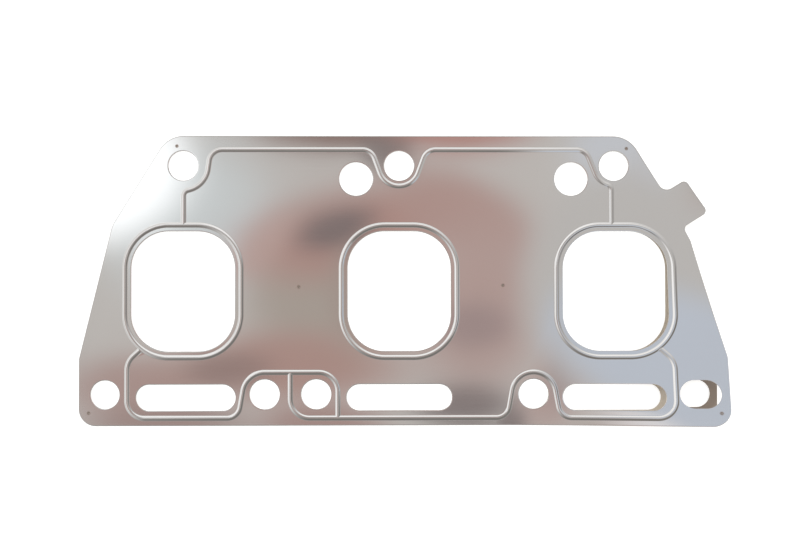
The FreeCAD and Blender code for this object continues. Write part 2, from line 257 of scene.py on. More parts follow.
@dataclass(frozen=True)
class Holes:
    """Bolt holes and coolant passages."""

    ports: Ports = field(default_factory=Ports)
    top_bolt_y: float = 58.6
    bolt_diameter: float = 15.2
    lower_bolt_y: float = -58.0
    outer_bolt_x: float = 149.4
    inner_bolt_x: float = 68.5
    locating_diameter: float = 14.5
    locating_slot_width: float = 14.0
    locating_slot_length: float = 18.9
    round_passage_diameter: float = 17.1
    round_passage_shift: complex = 22.0 + 6.7j
    cross_passage_x: float = -42.3
    cross_passage_diameter: float = 15.2
    slot_y: float = -59.6
    slot_height: float = 13.3
    middle_slot_length: float = 53.7
    side_slot_length: float = 50.4
    side_slot_x: float = 108.5

    def top_bolts(self) -> list[complex]:
        """The bolt holes in line above the ports, from the left."""
        return [complex(centre.real, self.top_bolt_y) for centre in self.ports.centres()]

    def edges(self) -> list[list[Run]]:
        """The edge of every hole in the sheet."""
        bolts = self.top_bolts()
        edges = self.ports.ring(0.0)
        edges += [circle(bolt, self.bolt_diameter) for bolt in bolts]
        for x in (-self.inner_bolt_x, self.inner_bolt_x):
            edges.append(circle(complex(x, self.lower_bolt_y), self.bolt_diameter))
        edges.append(circle(complex(-self.outer_bolt_x, self.lower_bolt_y), self.locating_diameter))
        edges.append(stadium(complex(self.outer_bolt_x, self.lower_bolt_y),
                             self.locating_slot_length, self.locating_slot_width))
        for bolt in bolts[1:]:
            edges.append(circle(bolt - self.round_passage_shift, self.round_passage_diameter))
        edges.append(circle(complex(self.cross_passage_x, self.lower_bolt_y),
                            self.cross_passage_diameter))
        edges.append(stadium(complex(0, self.slot_y), self.middle_slot_length, self.slot_height))
        for x in (-self.side_slot_x, self.side_slot_x):
            edges.append(stadium(complex(x, self.slot_y), self.side_slot_length, self.slot_height))
        return edges


@dataclass(frozen=True)
class Blank:
    """The outline of the sheet, with its locating tab on the right shoulder."""

    half_width: float = 162.7
    top_y: float = 73.9
    bottom_y: float = -73.9
    top_corner_x: float = 117.7
    shoulder: complex = 146.0 + 28.2j
    hip_y: float = -39.8
    top_corner_radius: float = 14.5
    bottom_corner_radius: float = 8.7
    shoulder_radius: float = 12.0
    hip_radius: float = 9.0
    tab_start: float = 34.3
    tab_width: float = 20.2
    tab_reach: float = 12.6
    tab_upper_corner_radius: float = 2.4
    tab_lower_corner_radius: float = 2.9
    tab_upper_notch_radius: float = 4.5
    tab_lower_notch_radius: float = 2.6
    tab_relief_depth: float = 1.9
    tab_relief_drop: float = 8.6

    def tab(self) -> list[tuple[complex, float]]:
        """Corners of the tab, down the right edge."""
        top_corner = complex(self.top_corner_x, self.top_y)
        down = unit(self.shoulder - top_corner)
        out = 1j * down
        root = top_corner + down * self.tab_start
        foot = root + down * self.tab_width
        slant = unit(complex(self.half_width, self.hip_y) - self.shoulder)
        return [
            (root, self.tab_upper_notch_radius),
            (root + out * self.tab_reach, self.tab_upper_corner_radius),
            (foot + out * self.tab_reach, self.tab_lower_corner_radius),
            (foot - out * self.tab_relief_depth, self.tab_lower_notch_radius),
            (self.shoulder + slant * self.tab_relief_drop, 0.0),
        ]

    def edge(self, with_tab: bool) -> list[Run]:
        """The blank's edge, clockwise from the bottom left corner."""
        left_shoulder = complex(-self.shoulder.real, self.shoulder.imag)
        corners = [
            (complex(-self.half_width, self.bottom_y), self.bottom_corner_radius),
            (complex(-self.half_width, self.hip_y), self.hip_radius),
            (left_shoulder, self.shoulder_radius),
            (complex(-self.top_corner_x, self.top_y), self.top_corner_radius),
            (complex(self.top_corner_x, self.top_y), self.top_corner_radius),
        ]
        corners += self.tab() if with_tab else [(self.shoulder, self.shoulder_radius)]
        corners.append((complex(self.half_width, self.hip_y), self.hip_radius))
        corners.append((complex(self.half_width, self.bottom_y), self.bottom_corner_radius))
        return rounded(corners, True)


@dataclass(frozen=True)
class BeadNetwork:
    """The embossed beads: one round each port, and the lines that close in the coolant area."""

    holes: Holes = field(default_factory=Holes)
    width: float = 2.7
    port_height: float = 0.6
    coolant_height: float = 0.55
    port_distance: float = 3.2
    top_line_y: float = 66.8
    bottom_line_y: float = -70.0
    top_bolt_radii: tuple[float, float, float] = (12.8, 10.4, 10.2)
    top_bolt_leans: tuple[float, float, float] = (8.0, 20.0, 22.0)
    lower_bolt_radius: float = 11.2
    lower_bolt_lean: float = 10.0
    run_out_radius: float = 6.6
    link_bend_radius: float = 3.0
    left_link_x: float = -109.8
    right_link_x: float = 108.8
    side_line_x: float = 138.3
    side_line_corner_radius: float = 9.0
    side_line_top_y: float = -41.4
    side_foot: complex = 132.0 - 35.5j
    side_foot_bend_radius: float = 10.0
    cross_passage_line_x: float = -31.3
    stub_line_x: float = -55.5
    loop_corner_radius: float = 9.8

    def run_out(self, line_y: float, bolt: complex, radius: float, lean: float,
                end: End) -> tuple[list[Run], float]:
        """The runs from a level line to the circle round a bolt hole.

        Args:
            line_y: Height of the level line.
            bolt: Middle of the bolt hole.
            radius: Radius of the bead round it.
            lean: Lean of the run between the two bends from square to the line, in degrees.
            end: The side of the hole.

        Returns:
            The runs, and the angle where they meet the circle.
        """
        toward_line = 1 if line_y > bolt.imag else -1
        side, angle = end.value, math.radians(lean)
        outward = complex(side * math.cos(angle), -toward_line * math.sin(angle))
        along = complex(side * math.sin(angle), toward_line * math.cos(angle))
        bends = self.run_out_radius
        rise = abs(line_y - bolt.imag) - bends + (radius + bends) * math.sin(angle)
        centre = bolt + outward * (radius + bends) + along * (rise / math.cos(angle))
        level = toward_line * math.pi / 2
        turn = math.remainder(cmath.phase(-outward) - level, 2 * math.pi)
        bend = Bend(centre, bends, level, level + turn)
        if side < 0:
            tip = math.pi + toward_line * angle
        else:
            tip = math.pi * (1 + toward_line) - toward_line * angle
        return [bend, Straight(bend.end, bolt + outward * radius)], tip

    def link_to_port(self, x: float, bolt: complex, radius: float,
                     end: End) -> tuple[list[Run], float]:
        """The straight run and the bend that join a bolt's bead to the port bead below it.

        Args:
            x: Place of the straight run.
            bolt: Middle of the bolt hole.
            radius: Radius of the bead round it.
            end: The side on which the bead goes on round the bolt.

        Returns:
            The runs, and the angle where they meet the circle.
        """
        side, bend_radius = end.value, self.link_bend_radius
        across = x + side * bend_radius - bolt.real
        drop = math.sqrt((radius + bend_radius) ** 2 - across ** 2)
        centre = complex(x + side * bend_radius, bolt.imag - drop)
        arm = bolt - centre
        level = math.pi if side > 0 else 0.0
        turn = math.remainder(cmath.phase(arm) - level, 2 * math.pi)
        bend = Bend(centre, bend_radius, level, level + turn)
        ports = self.holes.ports
        bead_top = ports.y + ports.height / 2 + self.port_distance
        return [Straight(complex(x, bead_top), bend.start), bend], cmath.phase(-arm) % (2 * math.pi)

    def top_route(self) -> list[Run]:
        """From the left port up round its bolt, along the narrow edge, down to the right port."""
        left, middle, right = self.holes.top_bolts()
        left_radius, middle_radius, right_radius = self.top_bolt_radii
        left_lean, middle_lean, right_lean = self.top_bolt_leans
        line = self.top_line_y
        up, up_tip = self.link_to_port(self.left_link_x, left, left_radius, End.RIGHT)
        away, away_tip = self.run_out(line, left, left_radius, left_lean, End.RIGHT)
        enter, enter_tip = self.run_out(line, middle, middle_radius, middle_lean, End.LEFT)
        leave, leave_tip = self.run_out(line, middle, middle_radius, middle_lean, End.RIGHT)
        last, last_tip = self.run_out(line, right, right_radius, right_lean, End.LEFT)
        down, down_tip = self.link_to_port(self.right_link_x, right, right_radius, End.LEFT)
        runs = up + [Bend(left, left_radius, up_tip, away_tip)] + backwards(away)
        runs.append(Straight(runs[-1].end, enter[0].start))
        runs += enter + [Bend(middle, middle_radius, enter_tip, leave_tip)] + backwards(leave)
        runs.append(Straight(runs[-1].end, last[0].start))
        return runs + last + [Bend(right, right_radius, last_tip, down_tip)] + backwards(down)

    def side_line(self, end: End) -> list[Run]:
        """From a side port's bead down the outer side to the bottom line."""
        side = end.value
        corners = [
            (complex(side * self.side_foot.real, self.side_foot.imag), 0.0),
            (complex(side * self.side_line_x, self.side_line_top_y), self.side_foot_bend_radius),
            (complex(side * self.side_line_x, self.bottom_line_y), self.side_line_corner_radius),
            (complex(side * self.holes.side_slot_x, self.bottom_line_y), 0.0),
        ]
        return rounded(corners, False)

    def bottom_left_route(self) -> list[Run]:
        """From the left port to the cross passage, closing in the left slot."""
        runs = self.side_line(End.LEFT)
        bolt = complex(-self.holes.inner_bolt_x, self.holes.lower_bolt_y)
        loop_y = bolt.imag + self.lower_bolt_radius
        rise, tip = self.run_out(self.bottom_line_y, bolt, self.lower_bolt_radius,
                                 self.lower_bolt_lean, End.LEFT)
        rise.append(Bend(bolt, self.lower_bolt_radius, tip, math.pi / 2))
        loop = [
            (rise[-1].end, 0.0),
            (complex(self.cross_passage_line_x, loop_y), self.loop_corner_radius),
            (complex(self.cross_passage_line_x, self.bottom_line_y), 0.0),
        ]
        return runs + [Straight(runs[-1].end, rise[0].start)] + rise + rounded(loop, False)

    def bottom_right_route(self) -> list[Run]:
        """From the loop line past the middle and right slots to the right port."""
        bolt = complex(self.holes.inner_bolt_x, self.holes.lower_bolt_y)
        loop_y = bolt.imag + self.lower_bolt_radius
        stub = rounded([
            (complex(self.stub_line_x, loop_y), 0.0),
            (complex(self.stub_line_x, self.bottom_line_y), self.loop_corner_radius),
            (complex(0, self.bottom_line_y), 0.0),
        ], False)
        sizes = (self.bottom_line_y, bolt, self.lower_bolt_radius, self.lower_bolt_lean)
        hump, first_tip = self.run_out(*sizes, End.LEFT)
        leave, last_tip = self.run_out(*sizes, End.RIGHT)
        hump.append(Bend(bolt, self.lower_bolt_radius, first_tip, last_tip))
        hump += backwards(leave)
        outer = self.side_line(End.RIGHT)
        first_join = Straight(stub[-1].end, hump[0].start)
        second_join = Straight(hump[-1].end, outer[-1].end)
        return stub + [first_join] + hump + [second_join] + outer

    def runs(self) -> list[tuple[Run, float]]:
        """Every run of the network with its bead's height."""
        ports = [run for ring in self.holes.ports.ring(self.port_distance) for run in ring]
        coolant = self.top_route() + self.bottom_left_route() + self.bottom_right_route()
        return [(run, self.port_height) for run in ports] + [
            (run, self.coolant_height) for run in coolant
        ]

    def rise(self, places: np.ndarray) -> np.ndarray:
        """How far the beads lift the sheet at each place: a rounded wave, as a press leaves it."""
        reach = self.width / 2
        rise = np.zeros(len(places))
        for run, height in self.runs():
            apart = run.distance(places)
            wave = 0.5 * height * (1.0 + np.cos(math.pi * np.minimum(apart / reach, 1.0)))
            rise = np.maximum(rise, wave)
        return rise


def backwards(runs: list[Run]) -> list[Run]:
    """The same runs taken from their far end."""
    return [run.reversed() for run in reversed(runs)]


@dataclass(frozen=True)
class Roll:
    """How the sprung corner of the upper layer rolls up, about an axis in the sheet's plane."""

    direction: float = -29.8
    start: float = 78.5
    radius: float = 241.0
    line_spacing: float = 4.0
    line_reach: float = 190.0

    def across(self) -> complex:
        """The direction square to the axis, towards the corner."""
        return cmath.exp(1j * math.radians(self.direction))

    def lay(self, places: np.ndarray, rise: np.ndarray, level: float) -> np.ndarray:
        """Places of the blank as they lie in the rolled sheet.

        Args:
            places: Places on the flat blank.
            rise: Height of each above the sheet's inner face.
            level: Level of that face where the sheet is flat.

        Returns:
            Three coordinates for each place.
        """
        across = self.across()
        past = np.maximum((places * np.conj(across)).real - self.start, 0.0)
        slope = past / self.radius
        plan = places + across * (self.radius * np.sin(slope) - past - rise * np.sin(slope))
        lift = self.radius * (1.0 - np.cos(slope)) + rise * np.cos(slope)
        return np.column_stack((plan.real, plan.imag, level + lift))

    def lines(self) -> list[tuple[complex, complex]]:
        """Lines along the axis that cut the rolled part into narrow strips."""
        reach, across, along = self.line_reach, self.across(), 1j * self.across()
        count = int((reach - self.start) / self.line_spacing)
        feet = [across * (self.start + n * self.line_spacing) for n in range(count + 1)]
        return [(foot - along * reach, foot + along * reach) for foot in feet]


@dataclass
class Drafting:
    """A flat drawing of the blank, which is then cut into triangles."""

    chord_error: float = 0.012
    merge_gap: float = 1e-4
    places: list[complex] = field(default_factory=list)
    edges: list[tuple[int, int]] = field(default_factory=list)
    faces: list[list[int]] = field(default_factory=list)
    known: dict[tuple[int, int], int] = field(default_factory=dict)

    def mark(self, place: complex) -> int:
        """The number of a place, new or already marked within a tenth of a micron."""
        key = (round(place.real / self.merge_gap), round(place.imag / self.merge_gap))
        if key not in self.known:
            self.known[key] = len(self.places)
            self.places.append(place)
        return self.known[key]

    def line(self, start: complex, end: complex) -> None:
        """A single edge."""
        self.edges.append((self.mark(start), self.mark(end)))

    def strand(self, run: Run, offset: float) -> None:
        """A line beside a run, at an offset to its left."""
        count = run.steps(self.chord_error)
        shares = [n / count for n in range(count + 1)]
        marks = [self.mark(run.point(s) + run.side(s) * offset) for s in shares]
        self.edges += [pair for pair in zip(marks, marks[1:]) if pair[0] != pair[1]]

    def loop(self, runs: list[Run]) -> None:
        """A closed edge, as a face taken anticlockwise."""
        marks: list[int] = []
        for run in runs:
            count = run.steps(self.chord_error)
            marks += [self.mark(run.point(n / count)) for n in range(count)]
        corners = [self.places[m] for m in marks]
        area = sum((a.conjugate() * b).imag for a, b in zip(corners, corners[1:] + corners[:1]))
        self.faces.append(marks if area > 0 else marks[::-1])

    def triangles(self) -> tuple[np.ndarray, list[list[int]]]:
        """The triangles inside the first loop and outside all others.

        Returns:
            The places and, for each triangle, three of their numbers.
        """
        flat = [Vector((p.real, p.imag)) for p in self.places]
        verts, _, faces, _, _, owners = delaunay_2d_cdt(flat, self.edges, self.faces, 0,
                                                        self.merge_gap, True)
        kept = [list(face) for face, owner in zip(faces, owners) if list(owner) == [0]]
        return np.array([complex(v.x, v.y) for v in verts]), kept


# Finishes

def linear(hex_colour: str) -> tuple[float, float, float, float]:
    """An sRGB hex colour as the linear values that a socket takes."""
    channels = [int(hex_colour[n:n + 2], 16) / 255.0 for n in (1, 3, 5)]
    bent = [c / 12.92 if c <= 0.04045 else ((c + 0.055) / 1.055) ** 2.4 for c in channels]
    return (bent[0], bent[1], bent[2], 1.0)


def add(tree: Tree, kind: str, settings: dict | None = None, **inputs) -> bpy.types.Node:
    """Adds a node.

    Args:
        tree: The tree that takes it.
        kind: The node's type.
        settings: Its own properties.
        **inputs: A value or a socket for each input, by its name with _ for a space, or i0, i1 and
            so on by place.

    Returns:
        The node.
    """
    node = tree.nodes.new(kind)
    for name, value in (settings or {}).items():
        setattr(node, name, value)
    for name, value in inputs.items():
        numbered = name[0] == "i" and name[1:].isdigit()
        socket = node.inputs[int(name[1:]) if numbered else name.replace("_", " ")]
        if isinstance(value, Socket):
            tree.links.new(value, socket)
        else:
            socket.default_value = value
    return node


def mix(tree: Tree, share: Socket, below: Tone, above: Tone, label: str = "") -> Socket:
    """The tone below with the tone above laid over it by a share."""
    below, above = (linear(tone) if isinstance(tone, str) else tone for tone in (below, above))
    settings = {"data_type": "RGBA", "label": label}
    return add(tree, "ShaderNodeMix", settings, i0=share, i6=below, i7=above).outputs[2]


def maths(tree: Tree, operation: str, *terms: Socket | float) -> Socket:
    """The result of an operation on numbers."""
    inputs = {f"i{n}": term for n, term in enumerate(terms)}
    return add(tree, "ShaderNodeMath", {"operation": operation}, **inputs).outputs[0]


def vectors(tree: Tree, operation: str, *terms: Socket | tuple, output: str = "Vector") -> Socket:
    """The result of an operation on places or directions."""
    inputs = {f"i{n}": term for n, term in enumerate(terms)}
    return add(tree, "ShaderNodeVectorMath", {"operation": operation}, **inputs).outputs[output]


def flattened(tree: Tree, place: Socket) -> Socket:
    """A place or a direction without its height."""
    return vectors(tree, "MULTIPLY", place, (1.0, 1.0, 0.0))


def ramp(tree: Tree, value: Socket, low: float, high: float, first: float = 0.0,
         last: float = 1.0, kind: str = "SMOOTHSTEP") -> Socket:
    """A smooth passage from the first number to the last as the value goes from low to high."""
    return add(tree, "ShaderNodeMapRange", {"interpolation_type": kind}, Value=value,
               From_Min=low, From_Max=high, To_Min=first, To_Max=last).outputs[0]


def noise(tree: Tree, place: Socket, size: float, detail: float) -> Socket:
    """A mottle with spots of about the given size."""
    return add(tree, "ShaderNodeTexNoise", Vector=place, Scale=1.0 / (size * MM),
               Detail=detail).outputs["Fac"]


def near(tree: Tree, place: Socket, spot: complex, core: float, reach: float,
         most: float = 1.0) -> Socket:
    """A share that is greatest in the core of a spot on the sheet and gone at its reach."""
    middle = (spot.real * MM, spot.imag * MM, 0.0)
    away = vectors(tree, "DISTANCE", flattened(tree, place), middle, output="Value")
    return ramp(tree, away, core * MM, reach * MM, most, 0.0)


def blank_material(name: str) -> tuple[bpy.types.Material, Tree]:
    """A material with an empty node tree."""
    material = bpy.data.materials.new(name)
    material.use_nodes = True
    material.node_tree.nodes.clear()
    return material, material.node_tree


def surface(tree: Tree, shader: bpy.types.Node) -> None:
    """Makes a shader the surface of its material."""
    add(tree, "ShaderNodeOutputMaterial", Surface=shader.outputs[0])


@dataclass(frozen=True)
class RolledStainless:
    """Bright cold-rolled spring steel, 1.4310.

    The rolls leave it nearly a mirror, so it shows soft pictures of what is around it, with a fine
    grain along the strip and a slight unevenness that bends those pictures. The grain is drawn at
    0.6 mm, coarser than the real few hundredths, so that it shows.
    """

    name: str
    colour: str = "#C8C7C6"
    haze_colour: str = "#C3C1BF"
    haze_size: float = 60.0
    roughness: float = 0.09
    roughness_spread: float = 0.03
    grain_pitch: float = 0.6
    grain_stretch: float = 0.02
    grain_depth: float = 0.0012
    grain_strength: float = 0.35
    wave_length: float = 28.0
    wave_height: float = 0.02
    tint_places: tuple[complex, ...] = ()
    tint_core: float = 0.52
    tint_radius: float = 1.3
    tint_share: float = 0.7
    tint_colour: str = "#A89C94"

    def material(self) -> bpy.types.Material:
        """The finish as a material."""
        material, tree = blank_material(self.name)
        place = add(tree, "ShaderNodeTexCoord").outputs["Object"]
        strip = add(tree, "ShaderNodeMapping", Vector=place,
                    Scale=(self.grain_stretch, 1.0, 1.0)).outputs[0]
        grain = noise(tree, strip, self.grain_pitch, detail=2.0)
        haze = noise(tree, place, self.haze_size, detail=4.0)
        spread = self.roughness_spread
        uneven = maths(tree, "MULTIPLY_ADD", grain, spread, self.roughness - spread)
        rough = maths(tree, "MULTIPLY_ADD", haze, spread, uneven)
        waves = add(tree, "ShaderNodeBump", Strength=1.0, Distance=self.wave_height * MM,
                    Height=noise(tree, place, self.wave_length, detail=0.0))
        lines = add(tree, "ShaderNodeBump", Strength=self.grain_strength,
                    Distance=self.grain_depth * MM, Height=grain, Normal=waves.outputs[0])
        surface(tree, add(tree, "ShaderNodeBsdfPrincipled", Metallic=1.0, Roughness=rough,
                          Base_Color=self.tone(tree, place, haze), Normal=lines.outputs[0]))
        return material

    def tone(self, tree: Tree, place: Socket, haze: Socket) -> Socket:
        """The steel's colour, slightly uneven, with a brown heat tint round each weld."""
        tone = mix(tree, haze, self.colour, self.haze_colour)
        for spot in self.tint_places:
            share = near(tree, place, spot, self.tint_core, self.tint_radius, self.tint_share)
            tone = mix(tree, share, tone, self.tint_colour)
        return tone


@dataclass(frozen=True)
class OiledInnerFaceWithPaintedShade:
    """The same steel inside the gasket, where an oil film has dried on: tan and nearly matt.

    Round the locating slot it is painted darker: painted shade, where the sprung upper layer shades
    the lower one.
    """

    name: str = "oil_filmed_inner_face_with_painted_shade"
    colour: str = "#DED6CA"
    film_colour: str = "#D3C8B8"
    blot_size: float = 5.0
    # Painted shade round the locating slot, where the sprung corner shades the inner faces.
    painted_shade_colour: str = "#94867A"
    painted_shade_place: complex = 152.0 - 58.0j
    painted_shade_core: float = 10.0
    painted_shade_reach: float = 17.0
    metallic: float = 0.4
    roughness: float = 0.4

    def material(self) -> bpy.types.Material:
        """The finish as a material."""
        material, tree = blank_material(self.name)
        place = add(tree, "ShaderNodeTexCoord").outputs["Object"]
        blots = noise(tree, place, self.blot_size, detail=3.0)
        film = mix(tree, blots, self.colour, self.film_colour)
        # Painted shade: the inner faces are darkened round the locating slot, under the sprung
        # corner.
        share = near(tree, place, self.painted_shade_place, self.painted_shade_core, self.painted_shade_reach)
        surface(tree, add(tree, "ShaderNodeBsdfPrincipled", Metallic=self.metallic,
                          Roughness=self.roughness,
                          Base_Color=mix(tree, share, film, self.painted_shade_colour)))
        return material


@dataclass(frozen=True)
class MottledSteel:
    """Bare dull steel in two close tones, with a fine relief that follows them."""

    name: str
    colour: str
    spot_colour: str
    spot_size: float
    detail: float
    relief: float
    relief_strength: float
    roughness: float

    def material(self) -> bpy.types.Material:
        """The finish as a material."""
        material, tree = blank_material(self.name)
        place = add(tree, "ShaderNodeTexCoord").outputs["Object"]
        spots = noise(tree, place, self.spot_size, self.detail)
        bumps = add(tree, "ShaderNodeBump", Strength=self.relief_strength,
                    Distance=self.relief * MM, Height=spots)
        surface(tree, add(tree, "ShaderNodeBsdfPrincipled", Metallic=1.0, Roughness=self.roughness,
                          Base_Color=mix(tree, spots, self.colour, self.spot_colour),
                          Normal=bumps.outputs[0]))
        return material


# The punched edge of the sheet: burnished by the punch at one side, torn and dull at the other.
SHEARED_EDGE = MottledSteel("sheared_stainless_edge", "#A9A49D", "#8D867E", spot_size=0.25,
                            detail=3.0, relief=0.01, relief_strength=0.5, roughness=0.42)

# A resistance-weld nugget: steel that melted and set, with a brown oxide skin.
WELD_SCALE = MottledSteel("oxidised_weld_steel", "#A79D95", "#8A7E76", spot_size=0.5,
                          detail=4.0, relief=0.02, relief_strength=0.6, roughness=0.38)


# Pieces

def select_only(piece: bpy.types.Object) -> None:
    """Makes one object the only selected and active one."""
    bpy.ops.object.select_all(action="DESELECT")
    piece.select_set(True)
    bpy.context.view_layer.objects.active = piece


def apply_modifiers(piece: bpy.types.Object) -> None:
    """Applies every modifier of a piece in order."""
    select_only(piece)
    for name in [modifier.name for modifier in piece.modifiers]:
        bpy.ops.object.modifier_apply(modifier=name)


@dataclass(frozen=True)
class Welds:
    """The spot welds that tie the layers. The one in the lower right corner has let go."""

    width: float = 1.6
    sound: tuple[complex, ...] = (-113.2 + 68.6j, 116.6 + 67.5j, -51.2 - 3.3j, 53.0 - 2.6j,
                                  -157.6 - 67.3j)
    broken: complex = 158.4 - 67.3j

    def edges(self) -> list[list[Run]]:
        """The edge of each nugget."""
        return [circle(place, self.width) for place in self.sound + (self.broken,)]


@dataclass
class SheetLayer:
    """One stamped layer of the gasket."""

    side: LayerSide
    blank: Blank = field(default_factory=Blank)
    beads: BeadNetwork = field(default_factory=BeadNetwork)
    welds: Welds = field(default_factory=Welds)
    roll: Roll = field(default_factory=Roll)
    thickness: float = SHEET_THICKNESS
    inner_level: float = INNER_LEVEL
    strand_shares: tuple[float, ...] = (0.0, 0.16, 0.32, 0.48, 0.64, 0.78, 0.9, 1.0, 1.1)
    edge_drop_width: float = 0.36
    edge_drop_depth: float = 0.07
    edge_shares: tuple[float, ...] = (0.25, 0.55, 1.0, 1.35)
    drop_name: str = "edge_drop"
    merge_gap: float = 1e-4
    smooth_angle: float = 35.0

    @property
    def name(self) -> str:
        """The name of the layer and of its CAD node."""
        return "upper_layer" if self.side is LayerSide.UPPER else "lower_layer"

    def punched_edges(self) -> list[list[Run]]:
        """The blank's edge and the edge of every hole, each with the sheet on its right."""
        return [self.blank.edge(with_tab=self.side is LayerSide.UPPER)] + self.beads.holes.edges()

    def draft(self) -> Drafting:
        """The blank with its holes and the lines that the beads and the drawn edges follow."""
        drafting = Drafting()
        for edge in self.punched_edges() + self.welds.edges():
            drafting.loop(edge)
        for edge in self.punched_edges():
            for run in edge:
                for share in self.edge_shares:
                    drafting.strand(run, -share * self.edge_drop_width)
        for run, _ in self.beads.runs():
            for share in self.strand_shares:
                for offset in {share * self.beads.width / 2, -share * self.beads.width / 2}:
                    drafting.strand(run, offset)
        if self.side is LayerSide.UPPER:
            for start, end in self.roll.lines():
                drafting.line(start, end)
        return drafting

    def edge_drop(self, places: np.ndarray) -> np.ndarray:
        """How far the punch drew the outer face down at each place, near a punched edge."""
        apart = np.full(len(places), self.edge_drop_width)
        for edge in self.punched_edges():
            for run in edge:
                apart = np.minimum(apart, run.distance(places))
        return self.edge_drop_depth * (1.0 - apart / self.edge_drop_width) ** 2

    def draw_edges(self, piece: bpy.types.Object) -> None:
        """Thins the sheet from its outer face by the drop that each of its places carries.

        The modifier that gave the sheet its thickness leaves the places of the first face before
        those of the second, in the same order.
        """
        mesh = piece.data
        corners = np.empty(3 * len(mesh.vertices))
        mesh.vertices.foreach_get("co", corners)
        faces = corners.reshape(2, -1, 3)
        drops = np.empty(len(mesh.vertices))
        mesh.attributes[self.drop_name].data.foreach_get("value", drops)
        outer = int((faces[1] - faces[0])[:, 2].mean() * self.side.value > 0)
        through = faces[outer] - faces[1 - outer]
        faces[outer] -= through * (drops.reshape(2, -1)[outer][:, None] / self.thickness)
        mesh.vertices.foreach_set("co", corners)
        mesh.attributes.remove(mesh.attributes[self.drop_name])
        mesh.update()

    def build(self) -> bpy.types.Object:
        """Models the layer.

        No primitive gives a blank with this bead network, so its inner face is drawn as triangles
        along the beads, lifted to the pressed form and rolled. A modifier then gives it its
        thickness, and the outer face is drawn down along the punched edges.

        Returns:
            The piece.
        """
        places, triangles = self.draft().triangles()
        rise = self.beads.rise(places)
        if self.side is LayerSide.UPPER:
            corners = self.roll.lay(places, rise, self.inner_level)
        else:
            corners = np.column_stack((places.real, places.imag, self.inner_level - rise))
            triangles = [triangle[::-1] for triangle in triangles]
        mesh = bpy.data.meshes.new(self.name + "_sheet")
        mesh.from_pydata((corners * MM).tolist(), [], triangles)
        drop = mesh.attributes.new(self.drop_name, "FLOAT", "POINT")
        drop.data.foreach_set("value", self.edge_drop(places))
        piece = bpy.data.objects.new(self.name + "_sheet", mesh)
        bpy.context.scene.collection.objects.link(piece)
        self.prune(piece)
        wall = piece.modifiers.new("sheet thickness", "SOLIDIFY")
        wall.thickness = self.thickness * MM
        wall.offset = 1.0
        wall.material_offset_rim = 1
        apply_modifiers(piece)
        self.draw_edges(piece)
        return piece

    def prune(self, piece: bpy.types.Object) -> None:
        """Drops loose places and merges doubled ones."""
        form = bmesh.new()
        form.from_mesh(piece.data)
        bmesh.ops.delete(form, geom=[v for v in form.verts if not v.link_faces], context="VERTS")
        bmesh.ops.remove_doubles(form, verts=form.verts[:], dist=self.merge_gap * MM)
        bmesh.ops.dissolve_degenerate(form, dist=self.merge_gap * MM, edges=form.edges[:])
        form.to_mesh(piece.data)
        form.free()

    def dress(self, piece: bpy.types.Object, outer: bpy.types.Material,
              edge: bpy.types.Material, inner: bpy.types.Material) -> None:
        """Gives the outer face, the punched edges and the inner face their finishes."""
        for material in (outer, edge, inner):
            piece.data.materials.append(material)
        for face in piece.data.polygons:
            if face.material_index == 0 and face.normal.z * self.side.value < 0:
                face.material_index = 2
        select_only(piece)
        bpy.ops.object.shade_smooth_by_angle(angle=math.radians(self.smooth_angle))


